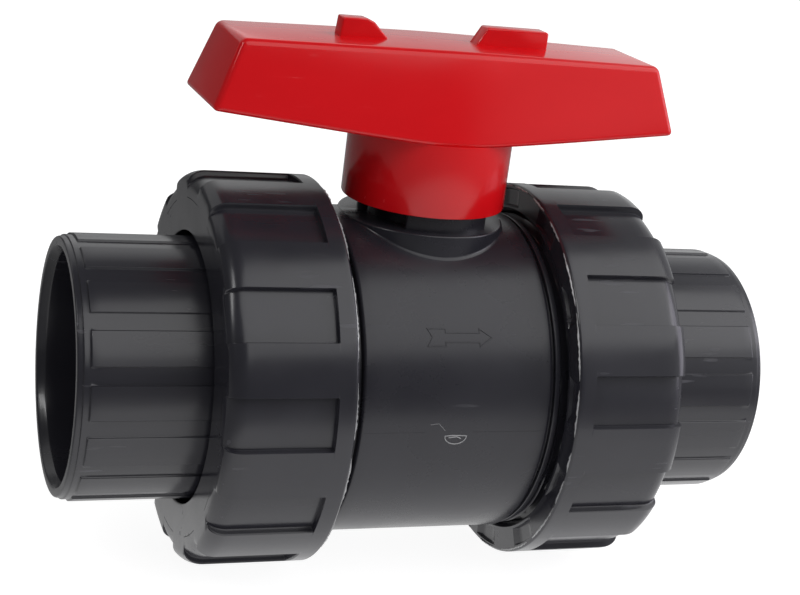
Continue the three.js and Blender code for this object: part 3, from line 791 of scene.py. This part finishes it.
def platform():
    """The pad under the handle with its foot blended into the barrel, closed below inside the wall."""
    sides = 192
    sections = []
    for i in range(sides):
        azimuth = TAU * i / sides
        wall = pad_foot_points(azimuth)
        section = [
            (wall[0][0], PLATFORM_BASE), *wall,
            (18.0, PLATFORM_TOP), (STEM_HOLE_RADIUS, PLATFORM_TOP), (STEM_HOLE_RADIUS, PLATFORM_BASE),
        ]
        sections.append([(d * math.sin(azimuth), -d * math.cos(azimuth), z) for d, z in section])
    rows = len(sections[0])
    verts = [corner for section in sections for corner in section]
    faces = []
    for i in range(sides):
        n = (i + 1) % sides
        for j in range(rows):
            k = (j + 1) % rows
            faces.append((i * rows + j, i * rows + k, n * rows + k, n * rows + j))
    obj = mesh_object("platform", verts, faces)
    face_outwards(obj)
    return obj


def neck():
    points = outline([
        (NECK_BASE, NECK_RADIUS, 0, 4), (NECK_TOP, NECK_RADIUS, 0.5, 4),
        (NECK_TOP, STEM_HOLE_RADIUS, 0.4, 4), (NECK_BASE, STEM_HOLE_RADIUS, 0, 4),
    ])
    return ring("neck", points, even_angles(96), upright=True)


def stop_lug(centre):
    """An arc-shaped stop outside the neck, its corners rounded."""
    start, end = centre - LUG_WIDTH / 2, centre + LUG_WIDTH / 2
    steps = 24
    sweep = [math.radians(start + (end - start) * k / steps) for k in range(steps + 1)]
    inner = NECK_RADIUS - 0.8
    corners = [(LUG_RADIUS * math.cos(a), LUG_RADIUS * math.sin(a)) for a in sweep]
    corners += [(inner * math.cos(a), inner * math.sin(a)) for a in reversed(sweep)]
    obj = prism("stop_lug", corners, PLATFORM_TOP - 1.0, LUG_TOP, upright)
    return bevel(obj, 0.5, 3, lambda mid, along, normals: mid.z > PLATFORM_TOP)


def merge(objects, name):
    """Joins the meshes of several objects into the first one."""
    work = bmesh.new()
    for obj in objects:
        work.from_mesh(obj.data)
    work.to_mesh(objects[0].data)
    work.free()
    for obj in objects[1:]:
        bpy.data.objects.remove(obj)
    objects[0].name = name
    return objects[0]


def barrel():
    half = BARREL_HALF
    far = BARREL_HALF + BARREL_GROOVE_WIDTH
    floor = BODY_HALF - FACE_GROOVE_DEPTH
    points = outline([
        (-BODY_HALF, NOSE_RADIUS, 0.2, 1.5),
        (-BODY_HALF + NOSE_LENGTH, MALE_ROOT, 0, 0.3),
        (-COLLAR_HALF, MALE_ROOT, 0, 0.5),
        (-COLLAR_HALF, COLLAR_RADIUS, 0.6, 0.6),
        (-far, COLLAR_RADIUS, 0.3, 0.6),
        (-far, BARREL_GROOVE_ROOT, 0.2, 0.6),
        (-half, BARREL_GROOVE_ROOT, 0.2, 0.6),
        (-half, BARREL_RADIUS, 1.0, 3.0),
        (half, BARREL_RADIUS, 1.0, 0.6),
        (half, BARREL_GROOVE_ROOT, 0.2, 0.6),
        (far, BARREL_GROOVE_ROOT, 0.2, 0.6),
        (far, COLLAR_RADIUS, 0.3, 0.6),
        (COLLAR_HALF, COLLAR_RADIUS, 0.6, 0.6),
        (COLLAR_HALF, MALE_ROOT, 0, 0.3),
        (BODY_HALF - NOSE_LENGTH, MALE_ROOT, 0, 1.5),
        (BODY_HALF, NOSE_RADIUS, 0.2, 1.5),
        (BODY_HALF, FACE_GROOVE_OUTER, 0.2, 1.5),
        (floor, FACE_GROOVE_OUTER, 0.2, 1.5),
        (floor, FACE_GROOVE_INNER, 0.2, 1.5),
        (BODY_HALF, FACE_GROOVE_INNER, 0.2, 1.5),
        (BODY_HALF, PASSAGE_RADIUS, 0.4, 3),
        (SEAT_POCKET_FLOOR, PASSAGE_RADIUS, 0.3, 3),
        (SEAT_POCKET_FLOOR, SEAT_POCKET_RADIUS, 0.2, 3),
        (SEAT_POCKET_MOUTH, SEAT_POCKET_RADIUS, 0.3, 3),
        (SEAT_POCKET_MOUTH, CAVITY_RADIUS, 0.6, 3),
        (-BODY_HALF, CAVITY_RADIUS, 0.4, 3),
    ])

    def shape(x, r, angle):
        if abs(x) > COLLAR_HALF + 0.01 and r > 43.0:
            turn = (x / THREAD_PITCH + angle / 360.0) % 1.0
            crest_off = min(turn, 1 - turn)
            tooth = 1 - smoothstep(TOOTH_FLAT, TOOTH_FOOT, crest_off)
            fade = smoothstep(COLLAR_HALF + 0.2, COLLAR_HALF + 1.2, abs(x))
            fade *= 1 - smoothstep(BODY_HALF - 2.4, BODY_HALF - 0.6, abs(x))
            r += (MALE_CREST - MALE_ROOT) * tooth * fade
        return x, r

    return ring("barrel", points, even_angles(216), shape)


def wrapped(u, v, height):
    """A point on the barrel: u along the pipe and v round it, from straight in front, both in mm."""
    a = v / BARREL_RADIUS
    r = BARREL_RADIUS + height
    return (u, -r * math.cos(a), r * math.sin(a))


def raised_line(name, corners, width, height, closed=True):
    """A thin raised line along corners (u, v) on the barrel's surface."""
    path = []
    count = len(corners)
    spans = count if closed else count - 1
    for i in range(spans):
        a, b = Vector(corners[i]), Vector(corners[(i + 1) % count])
        pieces = max(1, round((b - a).length / 1.2))
        path.extend(a.lerp(b, k / pieces) for k in range(pieces))
    if not closed:
        path.append(Vector(corners[-1]))
    verts, faces = [], []
    total = len(path)
    for i, p in enumerate(path):
        before = path[i - 1] if closed or i else p
        after = path[(i + 1) % total] if closed or i + 1 < total else p
        one = (p - before).normalized() if before != p else (after - p).normalized()
        two = (after - p).normalized() if after != p else one
        along = (one + two).normalized()
        across = Vector((-along.y, along.x)) / max(0.5, along.dot(two))
        for offset, lift in ((-0.5, -0.25), (-0.22, height), (0.22, height), (0.5, -0.25)):
            q = p + across * (offset * width)
            verts.append(wrapped(q.x, q.y, lift))
    steps = total if closed else total - 1
    for i in range(steps):
        n = (i + 1) % total
        for j in range(4):
            k = (j + 1) % 4
            faces.append((i * 4 + j, i * 4 + k, n * 4 + k, n * 4 + j))
    if not closed:
        faces.append((0, 1, 2, 3))
        faces.append(tuple((total - 1) * 4 + j for j in (3, 2, 1, 0)))
    obj = mesh_object(name, verts, faces)
    face_outwards(obj)
    return obj


def body():
    shell = barrel()
    drill = turned_solid("drill", [
        (30.0, 0), (30.0, STEM_POCKET_RADIUS), (STEM_POCKET_TOP, STEM_POCKET_RADIUS),
        (STEM_POCKET_TOP, STEM_HOLE_RADIUS), (60.0, STEM_HOLE_RADIUS), (60.0, 0),
    ])
    shell = boolean(shell, drill, "DIFFERENCE")
    lugs = [stop_lug(LUG_CENTRE), stop_lug(LUG_CENTRE + 180)]
    whole = merge([shell, platform(), neck(), *lugs], "body_shell")
    stands_for(whole, "body", 32)


def surface_marks():
    """A flow arrow, the moulding gate's scar and the mould's parting line, all raised on the barrel."""
    middle = BARREL_RADIUS * math.radians(30.2)
    arrow = [
        (-8.6, 2.4), (-3.4, 2.4), (-3.4, 1.3), (6.4, 1.3), (6.4, 2.4), (10.0, 0),
        (6.4, -2.4), (6.4, -1.3), (-3.4, -1.3), (-3.4, -2.4), (-8.6, -2.4), (-7.2, 0),
    ]
    arrow = [(u - 0.6, v + middle) for u, v in arrow]
    seam_v = BARREL_RADIUS * math.radians(-1.6)
    marks = merge([
        raised_line("arrow", arrow, 0.50, 0.17),
        raised_line("seam", [(5.0, seam_v), (26.2, seam_v)], 0.30, 0.05, closed=False),
        raised_line("seam_left", [(-26.2, seam_v), (-9.0, seam_v)], 0.30, 0.04, closed=False),
    ], "cast_marks")
    finish_piece(marks, "body", MATERIALS["body_pvc"], 30)

    gate_v = BARREL_RADIUS * math.radians(-3.6)
    half_round = (math.pi * k / 12 for k in range(1, 12))
    gate = [(-3.1, 0.6), (-1.0, 0.75), (1.2, 0.7), (3.1, 0.6)]
    gate += [(3.1 * math.cos(t), 0.5 - 2.3 * math.sin(t)) for t in half_round]
    gate = [(u + 0.1, v + gate_v) for u, v in gate]
    nick = [(-1.9, gate_v + 0.1), (0.4, gate_v + 0.35), (1.7, gate_v - 0.2)]
    tail = [(-7.6, gate_v + 3.9), (-5.2, gate_v + 4.2), (-3.2, gate_v + 2.2)]
    scar = merge([
        raised_line("gate", gate, 0.34, 0.15),
        raised_line("gate_nick", nick, 0.4, 0.1, closed=False),
        raised_line("gate_tail", tail, 0.16, 0.03, closed=False),
    ], "gate_scar")
    finish_piece(scar, "body", PALE_SCAR, 30)


# ---- Handle ----

def wing_section(s, inset, top_drop, bottom_drop):
    """The wing's four corners at s, from -1 at one tip to 1 at the other."""
    bend = (math.hypot(s, WING_BEND) - WING_BEND) / (math.hypot(1, WING_BEND) - WING_BEND)

    def between(ends):
        return ends[0] + (ends[1] - ends[0]) * bend

    top_x, bottom_x = s * (WING_TOP_HALF - inset), s * (WING_BOTTOM_HALF - inset)
    top_y, bottom_y = between(WING_TOP_WIDTH) - inset, between(WING_BOTTOM_WIDTH) - inset
    top_z, bottom_z = between(WING_TOP_HEIGHT) - top_drop, between(WING_BOTTOM_HEIGHT) - bottom_drop
    return [(bottom_x, -bottom_y, bottom_z), (bottom_x, bottom_y, bottom_z),
            (top_x, top_y, top_z), (top_x, -top_y, top_z)]


def wing(name, inset, top_drop, bottom_drop):
    stations = [k / 24 for k in range(-24, 25)]
    verts = [p for s in stations for p in wing_section(s, inset, top_drop, bottom_drop)]
    faces = []
    for i in range(len(stations) - 1):
        for j in range(4):
            k = (j + 1) % 4
            faces.append((i * 4 + j, i * 4 + k, (i + 1) * 4 + k, (i + 1) * 4 + j))
    last = (len(stations) - 1) * 4
    faces += [(3, 2, 1, 0), (last, last + 1, last + 2, last + 3)]
    obj = mesh_object(name, verts, faces)
    face_outwards(obj)
    return obj


def block(name, low, high):
    corners = [(low[0], low[1]), (high[0], low[1]), (high[0], high[1]), (low[0], high[1])]
    return prism(name, corners, low[2], high[2], upright)


def post(name, radius, bottom, top, sides=96):
    return turned_solid(name, [(bottom, 0), (bottom, radius), (top, radius), (top, 0)], sides)


def tab(name, corners):
    """A spanner tab on the wing's top: a thick plate in the XZ plane with softened edges."""
    obj = prism(name, corners, -TAB_HALF, TAB_HALF, lambda u, v, w: (u, w, v))
    return bevel(obj, 0.5, 3, lambda mid, along, normals: mid.z > 95.5)


def hollow_out(shell):
    """Opens the wing from below, but for its webs, and bores the skirt round the hub and stop ribs."""
    cells = wing("cells", WING_WALL, WING_WALL, WING_TOP_WALL)
    core = post("core", SKIRT_RADIUS, SKIRT_BOTTOM - 1.1, WING_CLEAR_TOP)
    cells = boolean(cells, core, "DIFFERENCE")
    long_web = block("web", (-70, -WEB_HALF, LONG_WEB_BOTTOM), (70, WEB_HALF, WING_CLEAR_TOP))
    cells = boolean(cells, long_web, "DIFFERENCE")
    for x in CROSS_WEBS:
        web = block("web", (x - WEB_HALF, -25, CROSS_WEB_BOTTOM), (x + WEB_HALF, 25, WING_CLEAR_TOP))
        cells = boolean(cells, web, "DIFFERENCE")
    shell = boolean(shell, cells, "DIFFERENCE")

    bore = wing("bore", WING_WALL, WING_WALL, WING_TOP_WALL)
    upper = post("core", SKIRT_BORE_RADIUS, SKIRT_TOP - CLEAR, WING_CLEAR_TOP)
    bore = boolean(bore, upper, "INTERSECT")
    lower = post("core", SKIRT_BORE_RADIUS, SKIRT_BOTTOM - CLEAR, SKIRT_TOP)
    bore = boolean(bore, lower, "UNION")
    bore = boolean(bore, post("hub", HUB_RADIUS, HUB_BOTTOM, WING_CLEAR_TOP), "DIFFERENCE")
    for centre in STOP_RIB_CENTRES:
        sweep = [math.radians(centre + offset) for offset in STOP_RIB_SWEEP]
        corners = [(STOP_RIB_OUTER * math.cos(a), STOP_RIB_OUTER * math.sin(a)) for a in sweep]
        corners += [(STOP_RIB_INNER * math.cos(a), STOP_RIB_INNER * math.sin(a)) for a in reversed(sweep)]
        rib = prism("stop", corners, SKIRT_BOTTOM + 0.4, STOP_RIB_TOP, upright)
        bore = boolean(bore, rib, "DIFFERENCE")
    return boolean(shell, bore, "DIFFERENCE")


def handle():
    shell = wing("handle_shell", 0, 0, 0)
    bevel(shell, 1.7, 6, lambda mid, along, normals: mid.z > 90 or (abs(mid.x) > 59 and abs(along.z) > 0.5))
    bevel(shell, 1.5, 5, lambda mid, along, normals: mid.z < 78 and abs(along.z) < 0.4)
    skirt = turned_solid("skirt", [
        (SKIRT_BOTTOM, 0), (SKIRT_BOTTOM, SKIRT_RADIUS - 0.5), (SKIRT_BOTTOM + 0.15, SKIRT_RADIUS - 0.15),
        (SKIRT_BOTTOM + 0.5, SKIRT_RADIUS), (SKIRT_TOP, SKIRT_RADIUS), (SKIRT_TOP, 0),
    ], 144)
    shell = boolean(shell, skirt, "UNION")
    right_tab = [(8, 94), (30.4, 94), (30.4, 100.4), (29.4, TAB_TOP), (11.9, TAB_TOP)]
    left_tab = [(-30.8, 94), (-17, 94), (-17, 95.9), (-19.2, 98.0), (-21.2, 100.0), (-23.4, TAB_TOP),
                (-30.2, TAB_TOP)]
    for corners in (right_tab, left_tab):
        shell = boolean(shell, tab("tab", corners), "UNION")
    shell = hollow_out(shell)
    half = SOCKET_SQUARE / 2
    socket = block("socket", (-half, -half, HUB_BOTTOM - CLEAR), (half, half, STEM_TOP + CLEAR))
    stands_for(boolean(shell, socket, "DIFFERENCE"), "handle", 28)


# ---- Inner parts ----

def ball():
    steps = 40
    low = math.asin(PASSAGE_RADIUS / BALL_RADIUS)
    arc = [low + (math.pi - 2 * low) * k / steps for k in range(steps + 1)]
    points = [(-BALL_RADIUS * math.cos(t), BALL_RADIUS * math.sin(t)) for t in arc]
    half = points[-1][0]
    points += [(half - 2 * half * k / 6, PASSAGE_RADIUS) for k in range(1, 6)]
    obj = ring("ball_turned", points, even_angles(128))
    slot = block("slot", (-SLOT_WIDTH / 2, -40, SLOT_BOTTOM), (SLOT_WIDTH / 2, 40, 40))
    stands_for(boolean(obj, slot, "DIFFERENCE"), "ball")


def seat(side_name, side):
    steps = 8
    face = [SEAT_OUTER + (SEAT_INNER - SEAT_OUTER) * k / steps for k in range(steps + 1)]
    points = [(math.sqrt((BALL_RADIUS + SEAT_GAP) ** 2 - r * r), r) for r in face]
    points += [(SEAT_BACK, SEAT_INNER), (SEAT_BACK, SEAT_OUTER)]
    stands_for(ring(f"seat_{side_name}_ring", points, even_angles(96), side=side), f"seat_{side_name}")


def round_ring(cad_node, x, radius, section, upright_ring=False):
    steps = 14
    points = [(x + section * math.cos(TAU * k / steps), radius + section * math.sin(TAU * k / steps))
              for k in range(steps)]
    stands_for(ring(f"{cad_node}_round", points, even_angles(96), upright=upright_ring), cad_node)


def seat_carrier():
    face, floor = CARRIER_FACE, CARRIER_FACE + FACE_GROOVE_DEPTH
    points = outline([
        (face, FACE_GROOVE_OUTER, 0.2, 2),
        (face, CARRIER_RADIUS, 0.4, 2),
        (CARRIER_GROOVE_FAR, CARRIER_RADIUS, 0.2, 2),
        (CARRIER_GROOVE_FAR, CARRIER_GROOVE_ROOT, 0.2, 2),
        (CARRIER_GROOVE_NEAR, CARRIER_GROOVE_ROOT, 0.2, 2),
        (CARRIER_GROOVE_NEAR, CARRIER_RADIUS, 0.2, 2),
        (-SEAT_POCKET_MOUTH, CARRIER_RADIUS, 0.4, 2),
        (-SEAT_POCKET_MOUTH, SEAT_POCKET_RADIUS, 0.3, 2),
        (-SEAT_POCKET_FLOOR, SEAT_POCKET_RADIUS, 0.2, 2),
        (-SEAT_POCKET_FLOOR, PASSAGE_RADIUS, 0.3, 2),
        (face, PASSAGE_RADIUS, 0.5, 2),
        (face, FACE_GROOVE_INNER, 0.2, 2),
        (floor, FACE_GROOVE_INNER, 0.2, 2),
        (floor, FACE_GROOVE_OUTER, 0.2, 2),
    ])
    obj = ring("seat_carrier_ring", points, even_angles(128))
    notch = block("notch", (face - CLEAR, -CARRIER_NOTCH_REACH, -CARRIER_NOTCH_HALF),
                  (face + CARRIER_NOTCH_DEPTH, CARRIER_NOTCH_REACH, CARRIER_NOTCH_HALF))
    stands_for(boolean(obj, notch, "DIFFERENCE"), "seat_carrier")


def stem():
    shaft = [
        (STEM_FLANGE_BOTTOM, 0),
        (STEM_FLANGE_BOTTOM, STEM_FLANGE_RADIUS - STEM_EDGE),
        (STEM_FLANGE_BOTTOM + STEM_EDGE, STEM_FLANGE_RADIUS),
        (STEM_FLANGE_TOP - STEM_EDGE, STEM_FLANGE_RADIUS),
        (STEM_FLANGE_TOP, STEM_FLANGE_RADIUS - STEM_EDGE),
        (STEM_FLANGE_TOP, STEM_RADIUS),
    ]
    for bottom in STEM_GROOVES:
        top = bottom + STEM_GROOVE_WIDTH
        shaft += [(bottom, STEM_RADIUS), (bottom, STEM_GROOVE_ROOT)]
        shaft += [(top, STEM_GROOVE_ROOT), (top, STEM_RADIUS)]
    shaft += [(STEM_SHOULDER - 0.4, STEM_RADIUS), (STEM_SHOULDER, STEM_RADIUS - 0.4), (STEM_SHOULDER, 0)]
    obj = turned_solid("stem_turned", shaft)
    half = STEM_SQUARE / 2
    square = block("square", (-half, -half, 54.5), (half, half, STEM_TOP))
    bevel(square, 0.7, 3, lambda mid, along, normals: mid.z > 56)
    obj = boolean(obj, square, "UNION")
    half = TANG_WIDTH / 2
    tang = block("tang", (-half, -TANG_RADIUS, TANG_BOTTOM), (half, TANG_RADIUS, 38))
    tang = boolean(tang, post("core", TANG_RADIUS, 28, 39), "INTERSECT")
    stands_for(boolean(obj, tang, "UNION"), "stem", 30)


def inner_parts():
    ball()
    stem()
    seat_carrier()
    for side_name, side in (("upstream", -1), ("downstream", 1)):
        seat(side_name, side)
        points = outline([
            (CUSHION_FRONT, CUSHION_INNER, 0.3, 2), (CUSHION_BACK, CUSHION_INNER, 0.3, 2),
            (CUSHION_BACK, CUSHION_OUTER, 0.3, 2), (CUSHION_FRONT, CUSHION_OUTER, 0.3, 2),
        ])
        cushion = ring(f"seat_cushion_{side_name}_ring", points, even_angles(96), side=side)
        stands_for(cushion, f"seat_cushion_{side_name}")
    round_ring("face_o_ring_left", -45.15, 33.5, 1.45)
    round_ring("face_o_ring_right", 45.45, 33.5, 1.45)
    round_ring("carrier_o_ring", -34.6, 35.9, 1.15)
    round_ring("stem_o_ring_lower", 45.9, 7.95, 1.15, upright_ring=True)
    round_ring("stem_o_ring_upper", 51.1, 7.95, 1.15, upright_ring=True)
    points = outline([
        (WASHER_BOTTOM, WASHER_INNER, 0.1, 2), (WASHER_TOP, WASHER_INNER, 0.1, 2),
        (WASHER_TOP, WASHER_OUTER, 0.1, 2), (WASHER_BOTTOM, WASHER_OUTER, 0.1, 2),
    ])
    stands_for(ring("thrust_washer_ring", points, even_angles(72), upright=True), "thrust_washer")


add_camera()
add_floor()
add_light()
for name, sign in (("left", -1), ("right", 1)):
    nut(name, sign)
    nut_flash(name, sign)
    connector(name, sign)
body()
surface_marks()
handle()
inner_parts()

bpy.context.scene.view_settings.view_transform = "Standard"
